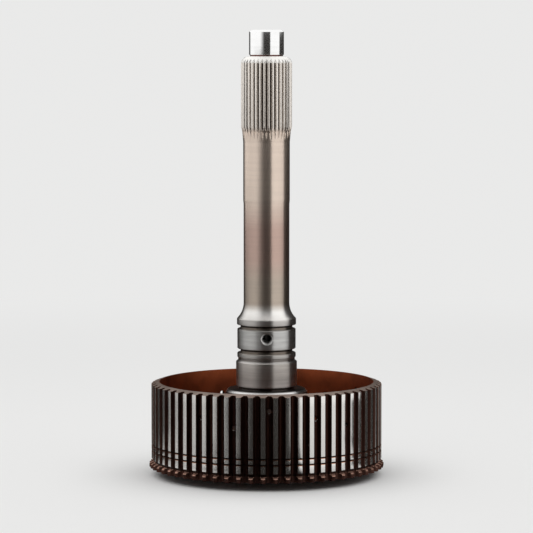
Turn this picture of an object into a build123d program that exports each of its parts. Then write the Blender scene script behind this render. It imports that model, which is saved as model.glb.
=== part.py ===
from build123d import *
from math import acos, cos, pi, radians, sin, tan
import os

# Input shaft with its clutch hub, standing on its rear face: +Z up the shaft, origin at the
# centre of the rear face, the oil cross-hole facing -Y. Millimetres and degrees.

# Rear hub, the seat of the clutch hub's web, and the flange above it
rear_radius = 24.5
rear_length = 9.0
rear_chamfer = 0.8
flange_radius = 25.6
flange_length = 36.95
flange_chamfer = 1.1

# Neck and journal
neck_depth = 1.8
neck_length = 2.6
neck_relief = 0.5
journal_radius = 19.0
journal_length = 15.95
journal_chamfer = 0.6

# Seal-ring lands and grooves
relief_depth = 0.55
relief_length = 2.1
ring_land_radius = 18.25
ring_land_length = 3.05
seal_groove_depth = 2.0
seal_groove_width = 2.45
seal_land_radius = 18.2
seal_land_length = 12.5
land_chamfer = 0.4
collar_radius = 18.45
collar_length = 3.85

# Flare and tube; the upper tube stands just under the spline's roots
flare_radius = 13.8
lower_tube_length = 61.7
tube_step = 0.23
tube_step_length = 2.0
tube_root_gap = 0.17
upper_tube_length = 36.35

# External spline, the run-out cone under it and the crown over it
spline_count = 36
spline_radius = 15.85
spline_length = 39.7
spline_pressure_angle = 30.0
spline_dedendum = 0.9
spline_turn = -1.3
cone_rise = 0.45
cone_length = 6.8
cone_lead_length = 2.7
crown_start_angle = 76.0
crown_face_width = 0.2

# Pilot nose
nose_radius = 10.8
nose_length = 15.45
nose_chamfer = 1.2
nose_undercut_depth = 0.5
nose_undercut_length = 0.9

# Drillings, and the pieces pressed into them from the rear
oil_bore_radius = 4.75
centre_mouth_radius = 6.4
centre_mouth_depth = 2.8
cross_hole_radius = 2.8
cross_hole_rise = 7.45
cross_hole_sink_radius = 3.8
cross_hole_sink_depth = 1.0
plug_radius = 6.0
plug_length = 6.0
plug_wall = 1.0
pocket_radius = 11.5
pocket_end_gap = 4.0
pocket_chamfer = 0.8
bushing_wall = 1.5
bushing_length = 18.0
bushing_inset = 2.0
bushing_chamfer = 0.4

# Clutch hub: the cup, its web and its rim
hub_foot_gap = 5.15
hub_height = 53.3
hub_inner_radius = 66.75
rim_face_width = 0.7
rim_bevel_drop = 1.5
rim_inner_chamfer = 0.4
web_thickness = 7.0
web_corner_chamfer = 3.0
web_under_chamfer = 1.0

# Clutch hub teeth, with rises measured up from the foot and drops down from the rim
tooth_count = 60
tooth_wall = 2.45
tooth_depth = 2.8
tooth_land_width = 2.75
tooth_flank_angle = 20.0
mark_groove_depth = 0.7
mark_groove_width = 0.9
mark_groove_rises = (10.85, 14.5)
stop_groove_depth = 1.5
stop_groove_width = 1.7
stop_groove_rise = 3.7
lip_stand = 1.35
lip_edge_rise = 2.35
oil_hole_radius = 1.4
oil_hole_groups = 6
oil_hole_steps = (0, 4, 7)
oil_hole_drops = (9.9, 15.3, 20.5)

# Spline sizes for its module, with the base circle of the involute flanks
spline_module = 2 * spline_radius / (spline_count + 1)
spline_pitch_radius = spline_module * spline_count / 2
spline_base_radius = spline_pitch_radius * cos(radians(spline_pressure_angle))
spline_root_radius = spline_pitch_radius - spline_dedendum * spline_module
spline_outer_radius = spline_radius + spline_module / 2

# Radii that follow from their neighbours
neck_radius = journal_radius - neck_depth
relief_radius = ring_land_radius - relief_depth
seal_groove_radius = seal_land_radius - seal_groove_depth
upper_tube_radius = spline_root_radius - tube_root_gap
lower_tube_radius = upper_tube_radius - tube_step
cone_radius = spline_root_radius + cone_rise
crown_face_radius = nose_radius + crown_face_width
crown_radius = (spline_radius - crown_face_radius) / sin(radians(crown_start_angle))
nose_undercut_radius = nose_radius - nose_undercut_depth
tooth_root_radius = hub_inner_radius + tooth_wall
tooth_tip_radius = tooth_root_radius + tooth_depth
stop_groove_radius = tooth_tip_radius - stop_groove_depth
lip_radius = tooth_tip_radius + lip_stand

# Heights up the shaft, each one from the one below it
web_top = rear_length + web_thickness
flange_top = web_top + flange_length
neck_top = flange_top + neck_length
journal_top = neck_top + journal_length
relief_top = journal_top + relief_length
ring_land_top = relief_top + ring_land_length
lower_groove_top = ring_land_top + seal_groove_width
seal_land_top = lower_groove_top + seal_land_length
upper_groove_top = seal_land_top + seal_groove_width
collar_top = upper_groove_top + collar_length
flare_reach = flare_radius - (collar_radius - lower_tube_radius)
flare_top = collar_top + (flare_radius**2 - flare_reach**2) ** 0.5
lower_tube_top = flare_top + lower_tube_length
upper_tube_bottom = lower_tube_top + tube_step_length
upper_tube_top = upper_tube_bottom + upper_tube_length
cone_top = upper_tube_top + cone_length
spline_bottom = cone_top + cone_lead_length
spline_top = spline_bottom + spline_length
crown_centre = spline_top - crown_radius * cos(radians(crown_start_angle))
crown_top = crown_centre + crown_radius
nose_bottom = crown_top + nose_undercut_length
shaft_top = nose_bottom + nose_length

# Places on the crown's arc and the flare's arc, halfway round each
crown_half_angle = radians(crown_start_angle) / 2
crown_middle = (
    crown_face_radius + crown_radius * sin(crown_half_angle),
    crown_centre + crown_radius * cos(crown_half_angle),
)
flare_half_angle = acos(flare_reach / flare_radius) / 2
flare_middle = (
    lower_tube_radius + flare_radius * (1 - cos(flare_half_angle)),
    flare_top - flare_radius * sin(flare_half_angle),
)

# Heights of the clutch hub
hub_rim = hub_foot_gap + hub_height
stop_groove_bottom = hub_foot_gap + stop_groove_rise
stop_groove_top = stop_groove_bottom + stop_groove_width
lip_edge = hub_foot_gap + lip_edge_rise

# Heights inside the rear pocket
pocket_roof = bushing_inset + bushing_length + pocket_end_gap
plug_top = pocket_roof + plug_length


def involute(pressure_angle):
    return tan(pressure_angle) - pressure_angle


# Spline tooth spaces: involute flanks, each drawn as one arc through three of its points
def spline_flank_point(radius, side):
    rolled = involute(acos(spline_base_radius / radius))
    space = pi / (2 * spline_count) - involute(radians(spline_pressure_angle)) + rolled
    return (radius * cos(space), side * radius * sin(space))


with BuildSketch() as spline_space:
    with BuildLine():
        ThreePointArc(
            spline_flank_point(spline_root_radius, -1),
            spline_flank_point(spline_pitch_radius, -1),
            spline_flank_point(spline_outer_radius, -1),
        )
        Line(
            spline_flank_point(spline_outer_radius, -1),
            spline_flank_point(spline_outer_radius, 1),
        )
        ThreePointArc(
            spline_flank_point(spline_outer_radius, 1),
            spline_flank_point(spline_pitch_radius, 1),
            spline_flank_point(spline_root_radius, 1),
        )
        ThreePointArc(
            spline_flank_point(spline_root_radius, 1),
            (spline_root_radius, 0),
            spline_flank_point(spline_root_radius, -1),
        )
    make_face()

with BuildPart() as input_shaft:
    # One turned section, from the rear face up to the nose
    with BuildSketch(Plane.XZ):
        with BuildLine():
            Polyline(
                (0, 0),
                (rear_radius, 0),
                (rear_radius, web_top),
                (flange_radius, web_top),
                (flange_radius, flange_top),
                (neck_radius, flange_top),
                (neck_radius, neck_top),
                (journal_radius, neck_top),
                (journal_radius, journal_top),
                (relief_radius, journal_top),
                (relief_radius, relief_top),
                (ring_land_radius, relief_top),
                (ring_land_radius, ring_land_top),
                (seal_groove_radius, ring_land_top),
                (seal_groove_radius, lower_groove_top),
                (seal_land_radius, lower_groove_top),
                (seal_land_radius, seal_land_top),
                (seal_groove_radius, seal_land_top),
                (seal_groove_radius, upper_groove_top),
                (collar_radius, upper_groove_top),
                (collar_radius, collar_top),
            )
            ThreePointArc(
                (collar_radius, collar_top), flare_middle, (lower_tube_radius, flare_top)
            )
            Polyline(
                (lower_tube_radius, flare_top),
                (lower_tube_radius, lower_tube_top),
                (upper_tube_radius, upper_tube_bottom),
                (upper_tube_radius, upper_tube_top),
                (cone_radius, cone_top),
                (spline_radius, spline_bottom),
                (spline_radius, spline_top),
            )
            ThreePointArc(
                (spline_radius, spline_top), crown_middle, (crown_face_radius, crown_top)
            )
            Polyline(
                (crown_face_radius, crown_top),
                (nose_undercut_radius, crown_top),
                (nose_undercut_radius, nose_bottom),
                (nose_radius, nose_bottom),
                (nose_radius, shaft_top),
                (0, shaft_top),
                (0, 0),
            )
        make_face()
    revolve(axis=Axis.Z)

    # Broken edges, picked by the height and radius of each turned corner
    def turned_corner(height, radius):
        corners = input_shaft.edges().filter_by(GeomType.CIRCLE)
        corners = corners.filter_by(lambda edge: abs(edge.radius - radius) < 0.001)
        return corners.filter_by(lambda edge: abs(edge.arc_center.Z - height) < 0.001)

    chamfer(turned_corner(0, rear_radius), rear_chamfer)
    chamfer(turned_corner(flange_top, flange_radius), flange_chamfer)
    chamfer(turned_corner(journal_top, journal_radius), journal_chamfer)
    chamfer(turned_corner(neck_top, journal_radius), journal_chamfer)
    chamfer(turned_corner(neck_top, neck_radius), neck_relief)
    chamfer(turned_corner(flange_top, neck_radius), neck_relief)
    chamfer(turned_corner(ring_land_top, ring_land_radius), land_chamfer)
    chamfer(turned_corner(relief_top, ring_land_radius), land_chamfer)
    chamfer(turned_corner(lower_groove_top, seal_land_radius), land_chamfer)
    chamfer(turned_corner(seal_land_top, seal_land_radius), land_chamfer)
    chamfer(turned_corner(upper_groove_top, collar_radius), land_chamfer)
    chamfer(turned_corner(shaft_top, nose_radius), nose_chamfer)

    # Spline spaces, cut down through the crown and out through the cone under the teeth
    with BuildSketch(Plane.XY.offset(upper_tube_top)):
        with PolarLocations(0, spline_count, start_angle=-90 + spline_turn):
            add(spline_space.sketch)
    extrude(amount=crown_top - upper_tube_top, mode=Mode.SUBTRACT)

    # Oil bore from the nose down to the rear pocket, with the centre's cone at its mouth
    with BuildSketch(Plane.XZ):
        with BuildLine():
            Polyline(
                (0, 0),
                (pocket_radius, 0),
                (pocket_radius, pocket_roof),
                (plug_radius, pocket_roof),
                (plug_radius, plug_top),
                (oil_bore_radius, plug_top),
                (oil_bore_radius, shaft_top - centre_mouth_depth),
                (centre_mouth_radius, shaft_top),
                (0, shaft_top),
                (0, 0),
            )
        make_face()
    revolve(axis=Axis.Z, mode=Mode.SUBTRACT)
    chamfer(turned_corner(0, pocket_radius), pocket_chamfer)

    # Oil cross-hole through the seal land into the bore, countersunk at its mouth
    cross_hole_height = lower_groove_top + cross_hole_rise
    with Locations(Plane(origin=(0, -seal_land_radius, cross_hole_height), z_dir=(0, -1, 0))):
        Cylinder(
            cross_hole_radius,
            seal_land_radius,
            align=(Align.CENTER, Align.CENTER, Align.MAX),
            mode=Mode.SUBTRACT,
        )
        Cone(
            cross_hole_radius,
            cross_hole_sink_radius,
            cross_hole_sink_depth,
            align=(Align.CENTER, Align.CENTER, Align.MAX),
            mode=Mode.SUBTRACT,
        )

# Clutch hub tooth space, drawn along +X: straight flanks run into one round root, whose arc
# touches both flanks and the root circle
tooth_pitch_width = 2 * pi * tooth_tip_radius / tooth_count
space_half_width = (tooth_pitch_width - tooth_land_width) / 2
flank_angle = radians(tooth_flank_angle)
space_outer_radius = lip_radius + 1
root_half_width = space_half_width - tan(flank_angle) * tooth_depth
outer_half_width = space_half_width + tan(flank_angle) * (space_outer_radius - tooth_tip_radius)
root_round = root_half_width * cos(flank_angle) / (1 - sin(flank_angle))
root_end = (
    tooth_root_radius + root_round * (1 - sin(flank_angle)),
    root_round * cos(flank_angle),
)

with BuildSketch() as tooth_space:
    with BuildLine():
        ThreePointArc((root_end[0], root_end[1]), (tooth_root_radius, 0), (root_end[0], -root_end[1]))
        Polyline(
            (root_end[0], -root_end[1]),
            (space_outer_radius, -outer_half_width),
            (space_outer_radius, outer_half_width),
            (root_end[0], root_end[1]),
        )
    make_face()

with BuildPart() as clutch_hub:
    # The cup's turned section: web, wall, stop lip and bevelled rim
    with BuildSketch(Plane.XZ):
        with BuildLine():
            Polyline(
                (rear_radius, rear_length),
                (hub_inner_radius, rear_length),
                (hub_inner_radius, hub_foot_gap),
                (lip_radius, hub_foot_gap),
                (lip_radius, lip_edge),
                (stop_groove_radius, stop_groove_bottom),
                (stop_groove_radius, stop_groove_top),
                (tooth_tip_radius, stop_groove_top),
                (tooth_tip_radius, hub_rim - rim_bevel_drop),
                (hub_inner_radius + rim_face_width, hub_rim),
                (hub_inner_radius, hub_rim),
                (hub_inner_radius, web_top),
                (rear_radius, web_top),
                (rear_radius, rear_length),
            )
        make_face()
    revolve(axis=Axis.Z)

    def turned_ring(height, radius):
        rings = clutch_hub.edges().filter_by(GeomType.CIRCLE)
        rings = rings.filter_by(lambda edge: abs(edge.radius - radius) < 0.001)
        return rings.filter_by(lambda edge: abs(edge.arc_center.Z - height) < 0.001)

    chamfer(turned_ring(web_top, hub_inner_radius), web_corner_chamfer)
    chamfer(turned_ring(rear_length, hub_inner_radius), web_under_chamfer)
    chamfer(turned_ring(hub_rim, hub_inner_radius), rim_inner_chamfer)

    # Two narrow grooves round the teeth
    with BuildSketch(Plane.XZ):
        for rise in mark_groove_rises:
            with Locations((tooth_tip_radius, hub_foot_gap + rise)):
                Rectangle(2 * mark_groove_depth, mark_groove_width)
    revolve(axis=Axis.Z, mode=Mode.SUBTRACT)

    # Tooth spaces, from the foot of the lip up through the rim's bevel
    with BuildSketch(Plane.XY.offset(hub_foot_gap)):
        with PolarLocations(0, tooth_count, start_angle=-90):
            add(tooth_space.sketch)
    extrude(amount=hub_height, mode=Mode.SUBTRACT)

    # Oil holes in the tooth spaces, at three drops in turn
    oil_holes = []
    for group in range(oil_hole_groups):
        for step, drop in zip(oil_hole_steps, oil_hole_drops):
            space_number = group * (tooth_count // oil_hole_groups) + step
            turn = radians(-90 + 360 / tooth_count * space_number)
            outward = Vector(cos(turn), sin(turn), 0)
            foot = outward * tooth_root_radius + Vector(0, 0, hub_rim - drop)
            oil_holes.append(Plane(origin=foot, z_dir=outward))
    with Locations(*oil_holes):
        Cylinder(
            oil_hole_radius,
            3 * (tooth_root_radius - hub_inner_radius),
            mode=Mode.SUBTRACT,
        )

# Cup plug, pressed into the step above the pocket with its mouth downwards
with BuildPart(Plane.XY.offset(pocket_roof)) as bore_plug:
    Cylinder(plug_radius, plug_length, align=(Align.CENTER, Align.CENTER, Align.MIN))
    offset(amount=-plug_wall, openings=bore_plug.faces().sort_by(Axis.Z)[0])

# Bushing pressed into the pocket, its bore chamfered at both ends
with BuildPart(Plane.XY.offset(bushing_inset)) as pilot_bushing:
    Cylinder(pocket_radius, bushing_length, align=(Align.CENTER, Align.CENTER, Align.MIN))
    Hole(pocket_radius - bushing_wall)
    bushing_ends = pilot_bushing.faces().filter_by(GeomType.PLANE)
    chamfer(bushing_ends.edges().group_by(SortBy.RADIUS)[0], bushing_chamfer)

os.makedirs("parts", exist_ok=True)

input_shaft.part.label = "input_shaft"
clutch_hub.part.label = "clutch_hub"
bore_plug.part.label = "bore_plug"
pilot_bushing.part.label = "pilot_bushing"

export_step(input_shaft.part, "parts/input_shaft.step")
export_step(clutch_hub.part, "parts/clutch_hub.step")
export_step(bore_plug.part, "parts/bore_plug.step")
export_step(pilot_bushing.part, "parts/pilot_bushing.step")
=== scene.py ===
import bmesh
import bpy
import numpy as np
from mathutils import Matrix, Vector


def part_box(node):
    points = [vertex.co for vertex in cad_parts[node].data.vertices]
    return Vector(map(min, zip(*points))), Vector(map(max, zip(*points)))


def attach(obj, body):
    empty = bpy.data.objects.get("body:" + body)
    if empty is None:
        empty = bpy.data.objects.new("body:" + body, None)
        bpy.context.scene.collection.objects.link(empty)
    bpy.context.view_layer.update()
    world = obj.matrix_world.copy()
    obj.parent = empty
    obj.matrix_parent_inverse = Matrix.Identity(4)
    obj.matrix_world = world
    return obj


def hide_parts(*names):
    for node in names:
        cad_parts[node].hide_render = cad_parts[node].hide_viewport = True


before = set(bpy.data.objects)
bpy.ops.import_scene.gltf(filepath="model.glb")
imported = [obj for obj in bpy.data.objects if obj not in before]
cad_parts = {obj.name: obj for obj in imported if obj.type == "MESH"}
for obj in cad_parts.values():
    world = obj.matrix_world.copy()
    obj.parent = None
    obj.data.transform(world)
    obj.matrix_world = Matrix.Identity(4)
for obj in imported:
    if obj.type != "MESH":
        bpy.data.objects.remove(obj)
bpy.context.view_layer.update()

mm = 0.001
samePoint = 0.0001  # nearer together than this, in millimetres, two points are one
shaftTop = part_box("input_shaft")[1].z / mm
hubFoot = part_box("clutch_hub")[0].z / mm
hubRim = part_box("clutch_hub")[1].z / mm
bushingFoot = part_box("pilot_bushing")[0].z / mm
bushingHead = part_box("pilot_bushing")[1].z / mm
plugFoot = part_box("bore_plug")[0].z / mm
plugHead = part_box("bore_plug")[1].z / mm
print("frame loaded: shaft", round(shaftTop, 2), "mm tall, hub from", round(hubFoot, 2))


# Surface maths. Every piece is a turned outline carried round the Z axis, on a grid of stations
# along the outline and columns round the axis. Lengths are in millimetres until the mesh is made.


def bandPoints(bands, startHeight):
    # two corners for each band, at its lower and upper radius; the heights are a running sum
    lowRadius, highRadius, length, edge = np.array(list(bands.values()), float).T
    high = startHeight + np.cumsum(length)
    radii = np.stack([lowRadius, highRadius], axis=1).ravel()
    heights = np.stack([high - length, high], axis=1).ravel()
    return np.stack([radii, heights, np.repeat(edge, 2)], axis=1)


def curvePoints(radii, heights):
    # points of a smooth stretch, which need no rounding of their own
    return np.stack([radii, heights, np.zeros(len(radii))], axis=1)


def roundOutline(corners, steps=3):
    # a corner K becomes the curve (1-t)^2 A + 2t(1-t) K + t^2 B, where A and B lie on its two
    # sides, one rounding away from it or just under halfway if a side is short; a closed loop
    gap = np.linalg.norm(corners[:, :2] - np.roll(corners[:, :2], 1, axis=0), axis=1)
    corners = corners[gap > samePoint / 10]
    points, rounding = corners[:, :2], corners[:, 2]
    toBefore = np.roll(points, 1, axis=0) - points
    toAfter = np.roll(points, -1, axis=0) - points
    before = np.linalg.norm(toBefore, axis=1)
    after = np.linalg.norm(toAfter, axis=1)
    reach = np.minimum(rounding, 0.45 * np.minimum(before, after))
    start = points + toBefore * (reach / before)[:, None]
    end = points + toAfter * (reach / after)[:, None]
    t = np.linspace(0, 1, steps)[None, :, None]
    curve = (1 - t) ** 2 * start[:, None] + 2 * t * (1 - t) * points[:, None] + t**2 * end[:, None]
    curve = curve.reshape(-1, 2)
    gap = np.linalg.norm(curve - np.roll(curve, 1, axis=0), axis=1)
    return curve[gap > samePoint]


def softMin(a, b, blend):
    # the smaller of two lengths, with the corner between them rounded over about one blend
    share = np.clip(0.5 + 0.5 * (b - a) / blend, 0, 1)
    return b + (a - b) * share - blend * share * (1 - share)


def toothColumns(count, halfOffsets, turn):
    # the same offsets on both sides of every tooth space's middle, and one on each tooth's middle
    half = np.array(halfOffsets)
    offsets = np.concatenate([-half[:0:-1], half, [180 / count]])
    middles = turn + 360 / count * np.arange(count)
    angles = np.radians((middles[:, None] + offsets[None, :]).ravel())
    return angles, np.radians(np.tile(offsets, count))


def turnedGrid(radii, heights, angles):
    # x = radius cos(angle), y = radius sin(angle), z = height, for every station and column
    radii = np.broadcast_to(radii, (len(heights), len(angles)))
    x = radii * np.cos(angles)
    y = radii * np.sin(angles)
    z = np.broadcast_to(heights[:, None], x.shape)
    return np.stack([x, y, z], axis=-1).reshape(-1, 3)


def gridQuads(stations, columns):
    # one quad from each station and column to the next ones, closed both ways
    ids = np.arange(stations * columns).reshape(stations, columns)
    right = np.roll(ids, -1, axis=1)
    above, aboveRight = np.roll(ids, -1, axis=0), np.roll(right, -1, axis=0)
    return ids, np.stack([ids, right, aboveRight, above], axis=-1)


def openPatch(ids, kept, outline, radius, height, middle, patch):
    # takes a patch's quads out of the grid, between the two stations at a radius that lie nearest
    # to its lower and upper height, and gives the vertex numbers round its border
    halfHeight, left, right = patch
    rows = np.flatnonzero(np.abs(outline[:, 0] - radius) < 10 * samePoint)
    heights = (height - halfHeight, height + halfHeight)
    ends = [rows[np.argmin(np.abs(outline[rows, 1] - end))] for end in heights]
    stations = np.arange(min(ends), max(ends) + 1)
    columns = np.arange(middle - left, middle + right + 1) % ids.shape[1]
    kept[np.ix_(stations[:-1], columns[:-1])] = False
    bottom = ids[stations[0], columns]
    right = ids[stations[1:], columns[-1]]
    top = ids[stations[-1], columns[-2::-1]]
    left = ids[stations[-2:0:-1], columns[0]]
    return np.concatenate([bottom, right, top, left])


def bridgeLoops(outerIds, outerAngles, innerIds, innerAngles):
    # goes round both loops by angle; each point met makes a triangle with the other loop's last
    outerIds = outerIds[np.argsort(outerAngles)]
    innerIds = innerIds[np.argsort(innerAngles)]
    met = np.argsort(np.concatenate([np.sort(outerAngles), np.sort(innerAngles)]), kind="stable")
    isOuter = met < len(outerIds)
    outerAt = (np.cumsum(isOuter) - 1) % len(outerIds)
    innerAt = (np.cumsum(~isOuter) - 1) % len(innerIds)
    fromOuter = np.stack([outerIds[outerAt - 1], outerIds[outerAt], innerIds[innerAt]], axis=1)
    fromInner = np.stack([outerIds[outerAt], innerIds[innerAt], innerIds[innerAt - 1]], axis=1)
    return np.where(isOuter[:, None], fromOuter, fromInner)


def drillHole(vertices, borders, direction, height, rings):
    # each ring is its radius (one, or one for each point) and its points' distances out from the
    # axis: a point is outward * distance + sideways * radius cos(t) + up * radius sin(t)
    outward = np.array([np.cos(direction), np.sin(direction), 0])
    sideways = np.array([-np.sin(direction), np.cos(direction), 0])
    count = len(rings[0][1])
    t = np.linspace(-np.pi, np.pi, count, endpoint=False)
    ringPoints = []
    for ringRadius, distances in rings:
        points = distances[:, None] * outward + (ringRadius * np.cos(t))[:, None] * sideways
        points[:, 2] = height + ringRadius * np.sin(t)
        ringPoints.append(points)
    ringIds = len(vertices) + np.arange(len(rings) * count).reshape(len(rings), count)
    vertices = np.concatenate([vertices, *ringPoints])
    triangles = []
    for border, ring in ((borders[0], ringIds[0]), (borders[1], ringIds[-1])):
        around = np.arctan2(vertices[border, 2] - height, vertices[border] @ sideways)
        triangles.append(bridgeLoops(border, around, ring, t))
    nextIds = np.roll(ringIds, -1, axis=1)
    walls = np.stack([ringIds[:-1], nextIds[:-1], nextIds[1:], ringIds[1:]], axis=-1)
    return vertices, walls.reshape(-1, 4), np.concatenate(triangles)


def addObject(name, data):
    item = bpy.data.objects.new(name, data)
    bpy.context.scene.collection.objects.link(item)
    return item


def makePiece(name, vertices, quads, triangles=np.empty((0, 3), int), sharpAngle=38):
    # one closed shell, whose edges are sharp above the angle
    corners = np.concatenate([quads.ravel(), triangles.ravel()]).astype(np.int32)
    sides = np.concatenate([np.full(len(quads), 4), np.full(len(triangles), 3)])
    starts = np.concatenate([[0], np.cumsum(sides)[:-1]]).astype(np.int32)
    mesh = bpy.data.meshes.new(name)
    mesh.vertices.add(len(vertices))
    mesh.vertices.foreach_set("co", (vertices * mm).astype(np.float32).ravel())
    mesh.loops.add(len(corners))
    mesh.loops.foreach_set("vertex_index", corners)
    mesh.polygons.add(len(sides))
    mesh.polygons.foreach_set("loop_start", starts)
    mesh.update(calc_edges=True)
    shell = bmesh.new()
    shell.from_mesh(mesh)
    bmesh.ops.remove_doubles(shell, verts=shell.verts, dist=samePoint * mm)
    loose = [vertex for vertex in shell.verts if not vertex.link_faces]
    bmesh.ops.delete(shell, geom=loose, context="VERTS")
    bmesh.ops.recalc_face_normals(shell, faces=shell.faces)
    openEdges = sum(len(edge.link_faces) != 2 for edge in shell.edges)
    shell.to_mesh(mesh)
    shell.free()
    mesh.shade_smooth()
    mesh.set_sharp_from_angle(angle=np.radians(sharpAngle))
    print(name, "made:", len(mesh.polygons), "faces,", openEdges, "open edges")
    return addObject(name, mesh)


# The shaft

shaft = {
    # lower radius, upper radius, length and edge rounding of each turned band, from the rear up;
    # the flange is 0.9 mm taller than the solid's, as in the photo
    "rearBands": {
        "rearEdge": (23.7, 24.5, 0.8, 0.1),
        "rearHub": (24.5, 24.5, 15.2, 0.1),
        "flange": (25.6, 25.6, 36.4, 0.15),
        "flangeChamfer": (25.6, 24.1, 1.45, 0.15),
        "neck": (17.2, 17.2, 1.7, 0.5),
        "journalFoot": (18.4, 19.0, 0.6, 0.1),
        "journal": (19.0, 19.0, 14.75, 0.1),
        "journalHead": (19.0, 18.4, 0.6, 0.1),
        "relief": (17.7, 17.7, 2.1, 0.2),
        "ringLandFoot": (17.85, 18.25, 0.4, 0.1),
        "ringLand": (18.25, 18.25, 2.25, 0.1),
        "ringLandHead": (18.25, 17.85, 0.4, 0.1),
        "lowerGroove": (16.2, 16.2, 2.45, 0.2),
        "sealLandFoot": (17.8, 18.2, 0.4, 0.1),
        "sealLandUnderHole": (18.2, 18.2, 2.65, 0.0),
        "sealLandAtHole": (18.2, 18.2, 8.8, 0.0),
        "sealLandOverHole": (18.2, 18.2, 0.25, 0.0),
        "sealLandHead": (18.2, 17.8, 0.4, 0.1),
        "upperGroove": (16.2, 16.2, 2.45, 0.2),
        "collarFoot": (18.05, 18.45, 0.4, 0.1),
        "collar": (18.45, 18.45, 3.45, 0.3),
    },
    "flareRadius": 13.8,
    "tubeBands": {
        "lowerTube": (14.25, 14.25, 61.7, 0.0),
        "tubeStep": (14.25, 14.48, 2.0, 0.6),
        "upperTube": (14.48, 14.48, 36.35, 0.6),
    },
    "coneRadius": 15.1,
    "coneLength": 6.8,
    "leadLength": 2.7,
    "crownStartAngle": 76,
    "crownFaceRadius": 11.0,
    "noseBands": {
        "noseUndercut": (10.3, 10.3, 0.9, 0.15),
        "nose": (10.8, 10.8, 14.25, 0.2),
        "noseEdge": (10.8, 9.6, 1.2, 0.35),
    },
    # points along the smooth stretches and along a tooth's flank
    "flareSteps": 16, "coneSteps": 18, "leadSteps": 7, "crownSteps": 16, "flankSteps": 400,
    # the spline's teeth; the column at 1.3 is the cross-hole's middle
    "splineCount": 36,
    "splineRadius": 15.85,
    "splineLength": 39.7,
    "splineTurn": -91.3,
    "pressureAngle": 30,
    "dedendum": 0.9,
    "halfColumns": (0, 0.6, 0.98, 1.3, 2.2, 3.15, 3.5),
    "rootBlend": 0.25,
    "crestBlend": 0.12,
    # the bore, from the nose's mouth down to the pocket at the rear, and its edges' roundings
    "mouthRadius": 6.4,
    "mouthDepth": 2.8,
    "boreRadius": 4.75,
    "plugSeatRadius": 6.0,
    "pocketRadius": 11.5,
    "pocketChamfer": 0.8,
    "mouthEdge": 0.3,
    "pocketEdge": 0.3,
    "boreEdge": 0.1,
    # the oil cross-hole, with the half height of the patches it is let into and their columns to
    # the left and the right; half size and power of the rings over the land round it; how far
    # inwards and down the edges of its countersink and its own edge are broken
    "holeHeight": 86.55,
    "holeRadius": 2.8,
    "sinkRadius": 3.8,
    "sinkDepth": 1.3,
    "landPatch": (4.4, 22, 19),
    "borePatch": (3.8, 62, 62),
    "landRings": ((4.3, 12), (4.2, 6), (4.1, 3.5), (4.0, 2.5), (3.9, 2)),
    "sinkBreak": (0.02, 0.08),
    "holeBreak": (0.06, 0.12),
    "holePoints": 72,
}


def splineReach(offsets, options):
    # distance of a tooth space's surface from the axis, at an angle off its middle. The flank is
    # an involute: at radius r its angle is pi / 2N - inv(pressure) + inv(arccos(base / r)), where
    # inv(a) = tan(a) - a. The root circle is the space's floor.
    count = options["splineCount"]
    pressure = np.radians(options["pressureAngle"])
    module = 2 * options["splineRadius"] / (count + 1)
    pitchRadius = module * count / 2
    baseRadius = pitchRadius * np.cos(pressure)
    radii = np.linspace(baseRadius, options["splineRadius"] + 2 * module, options["flankSteps"])
    rolled = np.arccos(baseRadius / radii)
    flank = np.pi / (2 * count) - np.tan(pressure) + pressure + np.tan(rolled) - rolled
    reach = np.interp(np.abs(offsets), flank, radii)
    root = pitchRadius - options["dedendum"] * module
    return -softMin(-reach, -root, options["rootBlend"])


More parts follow.
